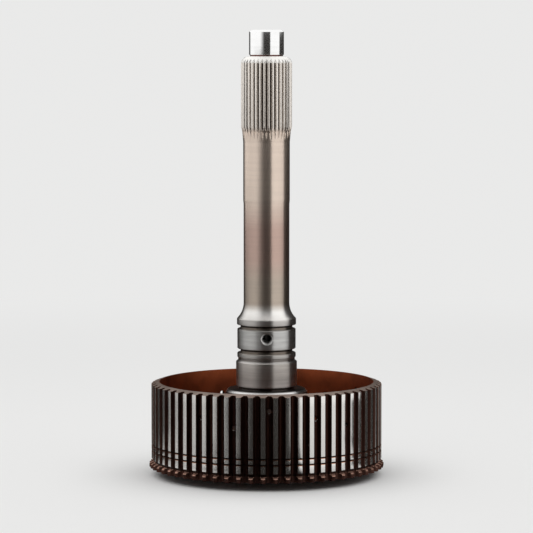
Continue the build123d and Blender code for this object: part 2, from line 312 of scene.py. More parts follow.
def shaftOutline(options):
    rear = bandPoints(options["rearBands"], 0)
    collarRadius, collarTop = rear[-1, :2]
    # the flare is an arc that ends along the tube: radius = tube + R (1 - cos a), height falls
    # R sin a below its end
    tubeRadius = options["tubeBands"]["lowerTube"][0]
    flareRadius = options["flareRadius"]
    widest = np.arccos(1 - (collarRadius - tubeRadius) / flareRadius)
    a = np.linspace(widest, 0, options["flareSteps"])
    flareTop = collarTop + flareRadius * np.sin(widest)
    flareRadii = tubeRadius + flareRadius * (1 - np.cos(a))
    flare = curvePoints(flareRadii, flareTop - flareRadius * np.sin(a))
    tube = bandPoints(options["tubeBands"], flareTop)
    tubeRadius, tubeTop = tube[-1, :2]
    # under the teeth a cone, then a steeper lead up to their full height
    coneRadius, tipRadius = options["coneRadius"], options["splineRadius"]
    rise = np.linspace(0, 1, options["coneSteps"])
    coneRadii = tubeRadius + (coneRadius - tubeRadius) * rise
    cone = curvePoints(coneRadii, tubeTop + options["coneLength"] * rise)
    rise = np.linspace(0, 1, options["leadSteps"])
    leadRadii = coneRadius + (tipRadius - coneRadius) * rise
    lead = curvePoints(leadRadii, cone[-1, 1] + options["leadLength"] * rise)
    # over the teeth the crown's arc: radius = face + R sin a, height = centre + R cos a
    faceRadius = options["crownFaceRadius"]
    a = np.radians(np.linspace(options["crownStartAngle"], 0, options["crownSteps"]))
    crownRadius = (tipRadius - faceRadius) / np.sin(a[0])
    crownCentre = lead[-1, 1] + options["splineLength"] - crownRadius * np.cos(a[0])
    crown = curvePoints(faceRadius + crownRadius * np.sin(a), crownCentre + crownRadius * np.cos(a))
    nose = bandPoints(options["noseBands"], crown[-1, 1])
    top = nose[-1, 1]
    bore, boreEdge = options["boreRadius"], options["boreEdge"]
    seat, pocket = options["plugSeatRadius"], options["pocketRadius"]
    chamfer = options["pocketChamfer"]
    holeHeight = options["holeHeight"]
    patch = options["borePatch"][0]
    inside = [
        (options["mouthRadius"], top, options["mouthEdge"]),
        (bore, top - options["mouthDepth"], options["mouthEdge"]),
        (bore, holeHeight + patch, 0),
        (bore, holeHeight, 0),
        (bore, holeHeight - patch, 0),
        (bore, plugHead, boreEdge),
        (seat, plugHead, boreEdge),
        (seat, plugFoot, boreEdge),
        (pocket, plugFoot, options["pocketEdge"]),
        (pocket, chamfer, boreEdge),
        (pocket + chamfer, 0, boreEdge),
    ]
    print("shaft outline ends", round(top - shaftTop, 3), "mm from the frame's top")
    outline = np.concatenate([rear, flare, tube, cone, lead, crown, nose, np.array(inside)])
    return roundOutline(outline), tubeTop


def makeShaft(options):
    outline, tubeTop = shaftOutline(options)
    angles, offsets = toothColumns(
        options["splineCount"], options["halfColumns"], options["splineTurn"]
    )
    # over the tube the surface is the turned outline or the tooth space, whichever is lower
    toothed = outline[:, 1:] > tubeTop
    reach = splineReach(offsets, options)[None, :]
    cut = softMin(outline[:, :1], reach, options["crestBlend"])
    radii = np.where(toothed, cut, outline[:, :1])
    vertices = turnedGrid(radii, outline[:, 1], angles)
    ids, quads = gridQuads(len(outline), len(angles))
    kept = np.ones(quads.shape[:2], bool)
    # the cross-hole faces -Y: a patch of the land and one of the bore give way to it
    height = options["holeHeight"]
    front = np.argmin(np.sin(angles))
    landRadius = options["rearBands"]["sealLandAtHole"][0]
    boreRadius = options["boreRadius"]
    patches = ((landRadius, options["landPatch"]), (boreRadius, options["borePatch"]))
    borders = [
        openPatch(ids, kept, outline, radius, height, front, patch) for radius, patch in patches
    ]
    t = np.linspace(-np.pi, np.pi, options["holePoints"], endpoint=False)
    x = np.cos(t)
    hole, sink = options["holeRadius"], options["sinkRadius"]
    sinkFloor = landRadius - options["sinkDepth"]
    sinkIn, sinkDown = options["sinkBreak"]
    holeIn, holeDown = options["holeBreak"]
    # over the land the rings pass from the patch's square to the hole's circle, each of radius
    # size (|cos t|^p + |sin t|^p)^(-1/p)
    rings = []
    for size, power in options["landRings"]:
        reach = size * (np.abs(x) ** power + np.abs(np.sin(t)) ** power) ** (-1 / power)
        rings.append((reach, np.sqrt(landRadius**2 - (reach * x) ** 2)))
    rings += [
        (sink - sinkIn, np.sqrt(landRadius**2 - (sink * x) ** 2) - sinkDown),
        (hole + holeIn, sinkFloor + 0 * x),
        (hole, sinkFloor - holeDown + 0 * x),
        (hole, np.sqrt(boreRadius**2 - (hole * x) ** 2)),
    ]
    vertices, walls, triangles = drillHole(vertices, borders, angles[front], height, rings)
    return makePiece("shaftBillet", vertices, np.concatenate([quads[kept], walls]), triangles)


# The clutch hub

hub = {
    "seatRadius": 24.5,
    "webLow": 9.0,
    "webHigh": 16.0,
    "innerRadius": 66.75,
    "rimFaceWidth": 0.7,
    "rimBevelDrop": 1.5,
    "webCorner": 3.0,
    # the teeth; a space's middle is turned to the front
    "toothCount": 60,
    "spaceTurn": -90,
    "tipRadius": 72.0,
    "toothDepth": 2.8,
    "lipStand": 1.35,
    "landWidth": 2.75,
    "flankAngle": 20,
    "crestBlend": 0.12,
    "halfColumns": (0, 0.45, 0.85, 1.2, 1.5, 1.84, 1.906, 1.975),
    # rises above the foot of the grooves round the teeth and of the lip
    "markRises": (10.85, 14.5),
    "markWidth": 0.9,
    "markDepth": 0.7,
    "stopRise": 3.7,
    "stopWidth": 1.7,
    "stopDepth": 1.5,
    "lipEdgeRise": 2.35,
    "wallLean": 0.05,
    # roundings of the outline's edges
    "edges": {
        "web": 0.2, "under": 1.2, "foot": 0.3, "lip": 0.2, "stop": 0.12, "stopHead": 0.15,
        "mark": 0.1, "bevel": 0.25, "rim": 0.35, "webCorner": 0.6,
    },
    # first and last share, and number, of the stations up the two slopes where the tooth spaces
    # run out in arches
    "lipStations": (0.12, 0.88, 5),
    "bevelStations": (0.1, 0.9, 10),
    # the oil holes, with patches given as for the shaft's cross-hole
    "holeRadius": 1.4,
    "holeEdge": 0.2,
    "holeGroups": 6,
    "holeSteps": (0, 4, 7),
    "holeDrops": (9.9, 15.3, 20.5),
    "holePatch": (2.0, 4, 4),
    "holePoints": 24,
}


def hubSizes(options):
    # radii and the tooth space's shape: straight flanks run into one round root, which touches
    # both flanks and the root circle
    tip = options["tipRadius"]
    root = tip - options["toothDepth"]
    lean = np.radians(options["flankAngle"])
    slope = np.tan(lean)
    halfWidth = (2 * np.pi * tip / options["toothCount"] - options["landWidth"]) / 2
    rounding = (halfWidth - slope * options["toothDepth"]) * np.cos(lean) / (1 - np.sin(lean))
    return tip, root, slope, halfWidth, rounding


def spaceFloor(x, options):
    # how far out the round root lies at a distance x from the space's middle
    root, rounding = hubSizes(options)[1::3]
    return root + rounding - np.sqrt(np.maximum(rounding**2 - x**2, 0))


def spaceReach(offsets, options):
    # a flank stands halfWidth + slope (depth - tip) off the middle, so at an angle a it is
    # (halfWidth - slope tip) / (sin a - slope cos a) from the axis; at the root the distance is
    # c cos a - sqrt(R^2 - (c sin a)^2), with c the middle of the root's arc and R its radius
    tip, root, slope, halfWidth, rounding = hubSizes(options)
    a = np.abs(offsets)
    flank = (halfWidth - slope * tip) / (np.sin(a) - slope * np.cos(a))
    c = root + rounding
    arc = c * np.cos(a) - np.sqrt(np.maximum(rounding**2 - (c * np.sin(a)) ** 2, 0))
    lean = np.radians(options["flankAngle"])
    touching = np.arctan2(rounding * np.cos(lean), c - rounding * np.sin(lean))
    return np.where(a <= touching, arc, flank)


def hubOutline(options):
    edges = options["edges"]
    tip = options["tipRadius"]
    lip = tip + options["lipStand"]
    inner = options["innerRadius"]
    seat = options["seatRadius"]
    webLow, webHigh = options["webLow"], options["webHigh"]
    lean = options["wallLean"]  # walls across the teeth lean, so that they keep a width at the root
    stopLow = hubFoot + options["stopRise"]
    stopHigh = stopLow + options["stopWidth"]
    stopRadius = tip - options["stopDepth"]
    lipEdge = hubFoot + options["lipEdgeRise"]
    corners = [
        (seat, webLow, edges["web"]),
        (inner, webLow, edges["under"]),
        (inner, hubFoot, edges["foot"]),
        (lip, hubFoot, edges["foot"]),
        (lip, lipEdge, edges["lip"]),
    ]
    for share in np.linspace(*options["lipStations"]):
        corners.append((lip + (stopRadius - lip) * share, lipEdge + (stopLow - lipEdge) * share, 0))
    corners += [
        (stopRadius, stopLow, edges["stop"]),
        (stopRadius, stopHigh, edges["stop"]),
        (tip, stopHigh + lean, edges["stopHead"]),
    ]
    bottom = tip - options["markDepth"]
    for rise in options["markRises"]:
        low = hubFoot + rise - options["markWidth"] / 2
        high = low + options["markWidth"]
        groove = [(tip, low), (bottom, low + lean), (bottom, high - lean), (tip, high)]
        corners += [(*corner, edges["mark"]) for corner in groove]
    halfHeight = options["holePatch"][0]
    middles = [hubRim - drop for drop in options["holeDrops"]]
    rows = sorted(middle + side * halfHeight for middle in middles for side in (-1, 0, 1))
    corners += [(tip, row, 0) for row in rows]
    drop = options["rimBevelDrop"]
    rimEdge = inner + options["rimFaceWidth"]
    corners.append((tip, hubRim - drop, edges["bevel"]))
    for share in np.linspace(*options["bevelStations"]):
        corners.append((tip + (rimEdge - tip) * share, hubRim - drop * (1 - share), 0))
    corners += [(rimEdge, hubRim, edges["bevel"]), (inner, hubRim, edges["rim"])]
    corners += [(inner, row, 0) for row in reversed(rows)]
    corners += [
        (inner, webHigh + options["webCorner"], edges["webCorner"]),
        (inner - options["webCorner"], webHigh, edges["webCorner"]),
        (seat, webHigh, edges["web"]),
    ]
    return roundOutline(np.array(corners, float))


def makeHub(options):
    outline = hubOutline(options)
    count, halfColumns = options["toothCount"], options["halfColumns"]
    angles, offsets = toothColumns(count, halfColumns, options["spaceTurn"])
    reach = spaceReach(offsets, options)[None, :]
    radii = softMin(outline[:, :1], reach, options["crestBlend"])
    vertices = turnedGrid(radii, outline[:, 1], angles)
    ids, quads = gridQuads(len(outline), len(angles))
    kept = np.ones(quads.shape[:2], bool)
    columnsPerTooth = len(angles) // count
    inner = options["innerRadius"]
    hole = options["holeRadius"]
    edge = hole + options["holeEdge"]
    x = np.cos(np.linspace(-np.pi, np.pi, options["holePoints"], endpoint=False))
    rings = [
        (edge, spaceFloor(edge * x, options)),
        (hole, spaceFloor(hole * x, options) - options["holeEdge"]),
        (hole, np.sqrt(inner**2 - (hole * x) ** 2)),
    ]
    allWalls, allTriangles = [], []
    for group in range(options["holeGroups"]):
        for step, drop in zip(options["holeSteps"], options["holeDrops"]):
            space = group * count // options["holeGroups"] + step
            middle = len(halfColumns) - 1 + space * columnsPerTooth
            height = hubRim - drop
            borders = [
                openPatch(ids, kept, outline, radius, height, middle, options["holePatch"])
                for radius in (options["tipRadius"], inner)
            ]
            vertices, walls, triangles = drillHole(vertices, borders, angles[middle], height, rings)
            allWalls.append(walls)
            allTriangles.append(triangles)
    quads = np.concatenate([quads[kept], *allWalls])
    return makePiece("hubCup", vertices, quads, np.concatenate(allTriangles))


# The bushing and the plug in the rear pocket

bushing = {
    "outerRadius": 11.5, "innerRadius": 10.0, "chamfer": 0.4, "edge": 0.1, "columns": 160,
    "colour": (0.62, 0.43, 0.20), "roughness": 0.30, "marks": (3500.0, 50.0),
}
plug = {
    "radius": 6.0, "wall": 1.0, "outerEdge": 0.8, "innerEdge": 0.5, "mouthEdge": 0.1,
    "columns": 96, "colour": (0.55, 0.55, 0.54), "roughness": 0.34, "marks": (2500.0, 50.0),
}


def makeRing(name, corners, columns, touchesAxis=False):
    # a plain turned piece; where its outline touches the axis, its ends meet in a point there
    outline = roundOutline(np.array(corners, float), steps=4)
    angles = np.linspace(0, 2 * np.pi, columns, endpoint=False)
    vertices = turnedGrid(outline[:, :1], outline[:, 1], angles)
    quads = gridQuads(len(outline), columns)[1]
    if touchesAxis:
        quads = quads[:-1]
    return makePiece(name, vertices, quads.reshape(-1, 4))


def makeBushing(options):
    outer, inner = options["outerRadius"], options["innerRadius"]
    chamfer, edge = options["chamfer"], options["edge"]
    corners = [
        (outer, bushingFoot, edge),
        (outer, bushingHead, edge),
        (inner + chamfer, bushingHead, edge),
        (inner, bushingHead - chamfer, edge),
        (inner, bushingFoot + chamfer, edge),
        (inner + chamfer, bushingFoot, edge),
    ]
    return makeRing("bushingSleeve", corners, options["columns"])


def makePlug(options):
    radius, wall = options["radius"], options["wall"]
    corners = [
        (0, plugHead, 0),
        (radius, plugHead, options["outerEdge"]),
        (radius, plugFoot, options["mouthEdge"]),
        (radius - wall, plugFoot, options["mouthEdge"]),
        (radius - wall, plugHead - wall, options["innerEdge"]),
        (0, plugHead - wall, 0),
    ]
    return makeRing("plugCup", corners, options["columns"], touchesAxis=True)


shaftPiece = makeShaft(shaft)
hubPiece = makeHub(hub)
bushingPiece = makeBushing(bushing)
plugPiece = makePlug(plug)
print("pieces made")


# Materials


def setInputs(tree, node, inputs):
    # an input is either linked from a socket or set to a value
    for name, value in inputs.items():
        if isinstance(value, bpy.types.NodeSocket):
            tree.links.new(value, node.inputs[name])
        else:
            node.inputs[name].default_value = value


def addNode(tree, kind, inputs, **settings):
    node = tree.nodes.new(kind)
    for name, value in settings.items():
        setattr(node, name, value)
    setInputs(tree, node, inputs)
    return node


def addMath(tree, operation, first, second=0.0):
    return addNode(tree, "ShaderNodeMath", {0: first, 1: second}, operation=operation).outputs[0]


def addProduct(tree, first, *others):
    for other in others:
        first = addMath(tree, "MULTIPLY", first, other)
    return first


def addStep(tree, value, start, end):
    # 0 before start and 1 after end, smooth between; start may be the larger
    inputs = {"Value": value, "From Min": start, "From Max": end}
    node = addNode(tree, "ShaderNodeMapRange", inputs, interpolation_type="SMOOTHSTEP")
    return node.outputs["Result"]


def addRise(tree, length, start, end):
    # the same, in millimetres
    return addStep(tree, length, start * mm, end * mm)


def addWithin(tree, length, low, high, blend):
    # 1 from low to high, and 0 one blend beyond either of them, in millimetres
    rising = addRise(tree, length, low - blend, low)
    return addProduct(tree, rising, addRise(tree, length, high + blend, high))


def addMix(tree, factor, first, second):
    inputs = {"Factor": factor, 6: first, 7: second}
    return addNode(tree, "ShaderNodeMix", inputs, data_type="RGBA").outputs[2]


def layColours(tree, colour, layers, options):
    # lays each named colour over the ones before it, where its mask is 1
    for mask, name in layers:
        colour = addMix(tree, mask, colour, (*options[name], 1))
    return colour


def addNoise(tree, place, scale, detail, roughness):
    inputs = {"Vector": place, "Scale": scale, "Detail": detail, "Roughness": roughness}
    return addNode(tree, "ShaderNodeTexNoise", inputs).outputs["Fac"]


def addBump(tree, height, strength, distance):
    inputs = {"Height": height, "Strength": strength, "Distance": distance}
    return addNode(tree, "ShaderNodeBump", inputs).outputs[0]


def addNormalUp(tree):
    # 1 on faces that look up, and 0 on upright ones
    normal = addNode(tree, "ShaderNodeNewGeometry", {}).outputs["Normal"]
    return addNode(tree, "ShaderNodeSeparateXYZ", {0: normal}).outputs[2]


def axisDistance(tree, place):
    # distance = sqrt(x^2 + y^2)
    parts = addNode(tree, "ShaderNodeSeparateXYZ", {0: place}).outputs
    squares = [addMath(tree, "POWER", parts[axis], 2.0) for axis in (0, 1)]
    return addMath(tree, "SQRT", addMath(tree, "ADD", *squares)), parts


def newGroup(name, inputs, outputs):
    group = bpy.data.node_groups.new(name, "ShaderNodeTree")
    group.interface.new_socket("Coordinates", in_out="INPUT", socket_type="NodeSocketVector")
    for label, value in inputs.items():
        socket = group.interface.new_socket(label, in_out="INPUT", socket_type="NodeSocketFloat")
        socket.default_value = value
    for label in outputs:
        group.interface.new_socket(label, in_out="OUTPUT", socket_type="NodeSocketFloat")
    start = group.nodes.new("NodeGroupInput")
    end = group.nodes.new("NodeGroupOutput")
    return group, start.outputs, end.inputs


def useGroup(tree, group, place, values):
    inputs = dict(enumerate([place, *values]))
    return addNode(tree, "ShaderNodeGroup", inputs, node_tree=group).outputs


def makeTurnedMarks():
    # fine rings left by turning and grinding, and wider streaks: noise stretched round the axis,
    # with its third coordinate running up the walls and outwards over the faces
    group, given, result = newGroup(
        "turnedMarks", {"Rings Per Metre": 3000.0, "Runs Per Metre": 40.0}, ("Height", "Streaks")
    )
    distance, parts = axisDistance(group, given["Coordinates"])
    along = addMath(group, "ADD", distance, parts[2])
    across = [addProduct(group, parts[axis], given["Runs Per Metre"]) for axis in (0, 1)]
    for label, share, detail in (("Height", 1.0, 3.0), ("Streaks", 0.16, 4.0)):
        rings = addProduct(group, along, addProduct(group, given["Rings Per Metre"], share))
        place = addNode(group, "ShaderNodeCombineXYZ", {0: across[0], 1: across[1], 2: rings})
        noise = addNoise(group, place.outputs[0], 1.0, detail, 0.6)
        group.links.new(noise, result[label])
    return group


def makeMottle():
    # patches where handling, oil and heat have changed the surface, and small specks in it
    group, given, result = newGroup(
        "mottle", {"Patches Per Metre": 60.0, "Specks Per Metre": 700.0}, ("Patches", "Specks")
    )
    for label, detail in (("Patches", 4.0), ("Specks", 2.0)):
        scale = given[label + " Per Metre"]
        group.links.new(addNoise(group, given["Coordinates"], scale, detail, 0.55), result[label])
    return group


turnedMarks = makeTurnedMarks()
mottle = makeMottle()


def newMaterial(name, item):
    material = bpy.data.materials.new(name)
    material.use_nodes = True
    item.data.materials.append(material)
    tree = material.node_tree
    place = addNode(tree, "ShaderNodeTexCoord", {}).outputs["Object"]
    return tree, tree.nodes["Principled BSDF"], place


shaftFinish = {
    # height where each finish is reached, over which stretch below it the last one passes into
    # it, both in millimetres, its colour and its roughness; a ramp holds sixteen finishes
    "bands": {
        "rearHub": (0.0, 0.0, (0.17, 0.14, 0.12), 0.50),
        # painted highlight: the flange's chamfer is near white, far lighter than the flange itself
        "flangeChamfer": (52.3, 0.2, (0.99, 0.985, 0.98), 0.24),
        # painted shade: the neck over the flange is coloured near black
        "neck": (53.95, 0.1, (0.06, 0.048, 0.042), 0.42),
        "journal": (55.7, 0.2, (0.65, 0.605, 0.565), 0.38),
        # painted highlight: the chamfer at the journal's head is coloured lighter than the journal
        "journalHead": (70.9, 0.2, (0.97, 0.95, 0.93), 0.34),
        "relief": (71.6, 0.2, (0.27, 0.24, 0.22), 0.42),
        "ringLand": (73.7, 0.2, (0.64, 0.62, 0.59), 0.38),
        "lowerGroove": (76.8, 0.2, (0.35, 0.30, 0.255), 0.46),
        "sealLand": (79.15, 0.2, (0.72, 0.72, 0.705), 0.38),
        "upperGroove": (91.75, 0.2, (0.35, 0.30, 0.255), 0.46),
        "collar": (94.1, 0.2, (0.67, 0.645, 0.62), 0.38),
        "flare": (98.6, 0.7, (0.98, 0.96, 0.93), 0.38),
        "lowerTube": (107.8, 5.0, (0.58, 0.49, 0.41), 0.40),
        "heatTint": (136.0, 14.0, (0.62, 0.445, 0.38), 0.40),
        "upperTube": (172.0, 18.0, (0.82, 0.685, 0.585), 0.38),
        "nose": (261.6, 0.1, (0.94, 0.94, 0.94), 0.16),
    },
    # faces and spaces that one height can't tell from their neighbours
    # painted dark reflection: the flange's upper face is coloured near black
    "flangeFaceDarkReflection": (0.035, 0.03, 0.027),
    # painted highlight: the journal is coloured lighter towards its foot
    "journalFoot": (0.95, 0.90, 0.86),
    "grooveShadow": (0.035, 0.028, 0.024),
    "spline": (0.95, 0.885, 0.82),
    # painted shade: the floors of the spline's tooth spaces are darker
    "splineSpaceShade": (0.12, 0.10, 0.085),
    "crown": (0.98, 0.96, 0.93),
    "noseUndercut": (0.11, 0.035, 0.03),
    # the heights these lie between, with the blend at both ends
    "flangeFaceSpan": (53.75, 54.05, 0.1),
    "grooveShadowSpans": ((78.3, 79.0, 0.4), (93.2, 94.0, 0.4)),
    "undercutSpan": (260.95, 261.65, 0.1),
    # the heights, and for the spaces' depth the radii, over which a mask goes from 0 to 1
    "flangeEdge": (55.6, 55.7),
    "footFade": (63.0, 56.0),
    "plainMarksFade": (103.0, 98.0),
    "spaceFoot": (213.5, 217.0),
    "spaceHead": (257.6, 256.6),
    "spaceDepth": (15.35, 14.8),
    "splineFoot": (214.5, 218.0),
    "crownFoot": (256.4, 257.4),
    "underNose": (260.95, 260.85),
    # turning marks as rings and runs per metre, mottle as patches and specks per metre
    "marks": (4200.0, 30.0),
    "patches": (55.0, 900.0),
    "marksOnTube": 0.35,
    "markDepth": 0.0000025,
    "streakRange": (0.35, 0.7),
    "streakRoughness": 0.16,
    "shadeColour": (0.1, 0.085, 0.075),
    "shadeStrength": 0.17,
    "anisotropy": 0.92,
    "anisotropyTurn": 0.25,
}


def addBandRamps(tree, height, options):
    # two ramps up the shaft, one for colour and one for roughness, with two stops at each change
    starts, stretches, colours, roughnesses = zip(*options["bands"].values())
    ramps = []
    for values in (colours, [(value, value, value) for value in roughnesses]):
        ramp = addNode(tree, "ShaderNodeValToRGB", {0: height})
        stops = ramp.color_ramp.elements
        stops[0].color = (*values[0], 1)
        for band in range(1, len(starts)):
            stops.new((starts[band] - stretches[band]) / shaftTop).color = (*values[band - 1], 1)
            stops.new(starts[band] / shaftTop).color = (*values[band], 1)
        stops[-1].color = (*values[-1], 1)
        ramps.append(ramp.outputs["Color"])
    return ramps


def makeShaftMaterial(piece, options):
    tree, shader, place = newMaterial("groundSteel", piece)
    distance, parts = axisDistance(tree, place)
    height = parts[2]

    def rise(name):
        return addRise(tree, height, *options[name])

    # the flange's upper face, painted near black as a painted dark reflection, the shadowed tops of
    # the seal-ring grooves, the undercut below the nose, the teeth, the floors of their spaces,
    # darkened as painted shade, and the crown; the journal brightens to its foot as a painted
    # highlight
    flangeFaceDarkReflection = addWithin(tree, height, *options["flangeFaceSpan"])
    flangeFaceDarkReflection = addProduct(tree, flangeFaceDarkReflection, addStep(tree, addNormalUp(tree), 0.9, 0.97))
    layers = [(flangeFaceDarkReflection, "flangeFaceDarkReflection")]
    for span in options["grooveShadowSpans"]:
        layers.append((addWithin(tree, height, *span), "grooveShadow"))
    layers.append((addWithin(tree, height, *options["undercutSpan"]), "noseUndercut"))
    underNose = rise("underNose")
    toothed = addProduct(tree, rise("splineFoot"), underNose)
    deep = addRise(tree, distance, *options["spaceDepth"])
    layers += [
        (toothed, "spline"),
        # the spaces' floors, darkened as painted shade
        (addProduct(tree, rise("spaceFoot"), rise("spaceHead"), deep), "splineSpaceShade"),
        (addProduct(tree, rise("crownFoot"), underNose), "crown"),
        # the journal's foot lighter, as a painted highlight
        (addProduct(tree, rise("footFade"), rise("flangeEdge")), "journalFoot"),
    ]
    share = addMath(tree, "DIVIDE", height, shaftTop * mm)
    bandColour, bandRoughness = addBandRamps(tree, share, options)
    colour = layColours(tree, bandColour, layers, options)
    # the marks are plainest below the flare, slight on the tube and absent from the teeth
    marks = useGroup(tree, turnedMarks, place, options["marks"])
    patches = useGroup(tree, mottle, place, options["patches"])
    slight = options["marksOnTube"]
    marked = addMath(tree, "ADD", addProduct(tree, rise("plainMarksFade"), 1 - slight), slight)
    marked = addProduct(tree, marked, addMath(tree, "SUBTRACT", 1.0, toothed))
    # streaks and patches darken the metal a little, and streaks change its roughness
    streaked = addStep(tree, marks["Streaks"], *options["streakRange"])
    shade = addMath(tree, "ADD", streaked, patches["Patches"])
    shade = addProduct(tree, shade, addProduct(tree, marked, options["shadeStrength"]))
    uneven = addMath(tree, "SUBTRACT", marks["Streaks"], 0.5)
    uneven = addProduct(tree, uneven, options["streakRoughness"], marked)
    even = addNode(tree, "ShaderNodeRGBToBW", {0: bandRoughness}).outputs[0]
    # the marks run round the axis, so they spread the light up and down
    tangent = addNode(tree, "ShaderNodeTangent", {}, direction_type="RADIAL", axis="Z")
    ridges = addProduct(tree, marks["Height"], marked)
    setInputs(tree, shader, {
        "Base Color": addMix(tree, shade, colour, (*options["shadeColour"], 1)),
        "Roughness": addMath(tree, "ADD", even, uneven),
        "Metallic": 1,
        "Anisotropic": options["anisotropy"],
        "Anisotropic Rotation": options["anisotropyTurn"],
        "Tangent": tangent.outputs[0],
        "Normal": addBump(tree, ridges, 1.0, options["markDepth"]),
    })


hubFinish = {
    "land": (0.74, 0.72, 0.695),
    # brown coating at the roots, coloured darker there than on the flanks as painted shade
    "rootCoatAndShade": (0.050, 0.020, 0.015),
    "flank": (0.11, 0.058, 0.044),
    # painted shade: the grooves round the teeth are near black
    "groove": (0.025, 0.012, 0.009),
    "edge": (0.60, 0.31, 0.20),
    "inside": (0.34, 0.082, 0.031),
    "web": (0.19, 0.095, 0.066),
    "rim": (0.37, 0.29, 0.25),
    "lip": (0.09, 0.042, 0.032),
    # painted highlight: the lip's upward-facing slope is a lighter copper than its side
    "lipSlopeHighlight": (0.66, 0.40, 0.31),
    # bare metal at the holes' broken edges, coloured only on their upward-facing part as a painted
    # highlight
    "holeEdge": (0.95, 0.92, 0.88),
    # depths under the lands, and under the roots for the holes' edges, in millimetres
    "flankDepths": (1.6, 0.1),
    "landDepths": (0.16, 0.05),
    "holeEdgeDepths": (0.22, 0.04, 0.02),
    "holeSpan": (30, 54, 1),
    # width of the copper edges, how softly one colour passes into the next, and over which
    # heights above the web the wall does
    "edgeWidth": 0.3,
    "blend": 0.1,
    "webFade": (9, 1),
    # blotches, grain and the lands' polish
    "patches": (90.0, 1100.0),
    "blotchColour": (0.03, 0.014, 0.01),
    "blotchRange": (0.35, 0.75),
    "blotchStrength": 0.35,
    "roughness": 0.46,
    "landRoughness": 0.22,
    "grainRoughness": 0.1,
    "grainStrength": 0.6,
    "grainDepth": 0.000010,
}


def makeHubMaterial(piece, options, sizes):
    tree, shader, place = newMaterial("hubSteel", piece)
    distance, parts = axisDistance(tree, place)
    height = parts[2]
    normalUp = addNormalUp(tree)
    blend = options["blend"]
    tip, root = hubSizes(sizes)[:2]
    inner, webHigh = sizes["innerRadius"], sizes["webHigh"]
    stopLow = hubFoot + sizes["stopRise"]
    stopHigh = stopLow + sizes["stopWidth"]
    bevelFoot = hubRim - sizes["rimBevelDrop"]
    # from the teeth's roots out to their lands, darkest at the roots as painted shade, then the
    # lip's side and its slope, which is lighter as a painted highlight
    flank = addRise(tree, distance, *(tip - depth for depth in options["flankDepths"]))
    onLand = addRise(tree, distance, *(tip - depth for depth in options["landDepths"]))
    overStop = addRise(tree, height, stopHigh - blend, stopHigh + blend)
    onLand = addProduct(tree, onLand, overStop)
    onLip = addRise(tree, height, stopLow + 2 * blend, stopLow - blend)
    lipSlopeHighlight = addProduct(tree, onLip, addStep(tree, normalUp, 0.15, 0.5))
    layers = [(flank, "flank"), (onLand, "land"), (onLip, "lip"), (lipSlopeHighlight, "lipSlopeHighlight")]
    # the grooves round the teeth, painted near black as painted shade, with a copper edge on the
    # land below each narrow one
    halfMark = sizes["markWidth"] / 2
    grooves = [(stopLow, stopHigh)]
    for rise in sizes["markRises"]:
        middle = hubFoot + rise
        low = middle - halfMark
        grooves.append((low, middle + halfMark))
        edge = addWithin(tree, height, low - options["edgeWidth"], middle, blend)
        layers.append((addProduct(tree, edge, onLand), "edge"))
    for low, high in grooves:
        layers.append((addWithin(tree, height, low + blend, high - blend, blend), "groove"))
    # the bright broken edge of each oil hole is bare metal, which alone lies just below the teeth's
    # roots;
    # it is coloured only where it faces up, which is a painted highlight
    deepest, highest, holeBlend = options["holeEdgeDepths"]
    holeEdge = addWithin(tree, distance, root - deepest, root - highest, holeBlend)
    nearHoles = addWithin(tree, height, *options["holeSpan"])
    holeEdge = addProduct(tree, holeEdge, nearHoles, addStep(tree, normalUp, 0.0, 0.15))
    # the rim's bevel and face, the cup's inside and the web
    onRim = addRise(tree, height, bevelFoot - 0.25, bevelFoot + blend)
    onRim = addProduct(tree, onRim, addStep(tree, normalUp, 0.1, 0.35))
    inside = addRise(tree, distance, inner + 0.35, inner + blend)
    onWeb = addRise(tree, height, *(webHigh + above for above in options["webFade"]))
    onWeb = addProduct(tree, inside, onWeb)
    layers += [(holeEdge, "holeEdge"), (onRim, "rim"), (inside, "inside"), (onWeb, "web")]
    colour = layColours(tree, (*options["rootCoatAndShade"], 1), layers, options)
    # blotches and grain lie everywhere but on the ground lands
    patches = useGroup(tree, mottle, place, options["patches"])
    offLand = addMath(tree, "SUBTRACT", 1.0, onLand)
    blotches = addStep(tree, patches["Patches"], *options["blotchRange"])
    blotches = addProduct(tree, blotches, options["blotchStrength"], offLand)
    grain = addProduct(tree, patches["Specks"], offLand)
    smoother = addProduct(tree, onLand, options["roughness"] - options["landRoughness"])
    rough = addMath(tree, "SUBTRACT", options["roughness"], smoother)
    uneven = addProduct(tree, grain, options["grainRoughness"])
    setInputs(tree, shader, {
        "Base Color": addMix(tree, blotches, colour, (*options["blotchColour"], 1)),
        "Roughness": addMath(tree, "ADD", rough, uneven),
        "Metallic": 1,
        "Normal": addBump(tree, grain, options["grainStrength"], options["grainDepth"]),
    })


ringFinish = {
    "patches": (160.0, 900.0),
    "patchRange": (0.4, 0.7),
    "patchStrength": 0.6,
    "patchShade": 0.45,
    "streakRoughness": 0.3,
    "markDepth": 0.000004,
}


def makeRingMaterial(name, piece, options, finish):
    tree, shader, place = newMaterial(name, piece)
    marks = useGroup(tree, turnedMarks, place, options["marks"])
    patches = useGroup(tree, mottle, place, finish["patches"])
    colour = (*options["colour"], 1)
    darker = (*(finish["patchShade"] * channel for channel in options["colour"]), 1)
    shade = addStep(tree, patches["Patches"], *finish["patchRange"])
    shade = addProduct(tree, shade, finish["patchStrength"])
    unevenness = finish["streakRoughness"]
    rough = addProduct(tree, marks["Streaks"], unevenness)
    setInputs(tree, shader, {
        "Base Color": addMix(tree, shade, colour, darker),
        "Roughness": addMath(tree, "ADD", rough, options["roughness"] - unevenness / 2),
        "Metallic": 1,
        "Normal": addBump(tree, marks["Height"], 1.0, finish["markDepth"]),
    })


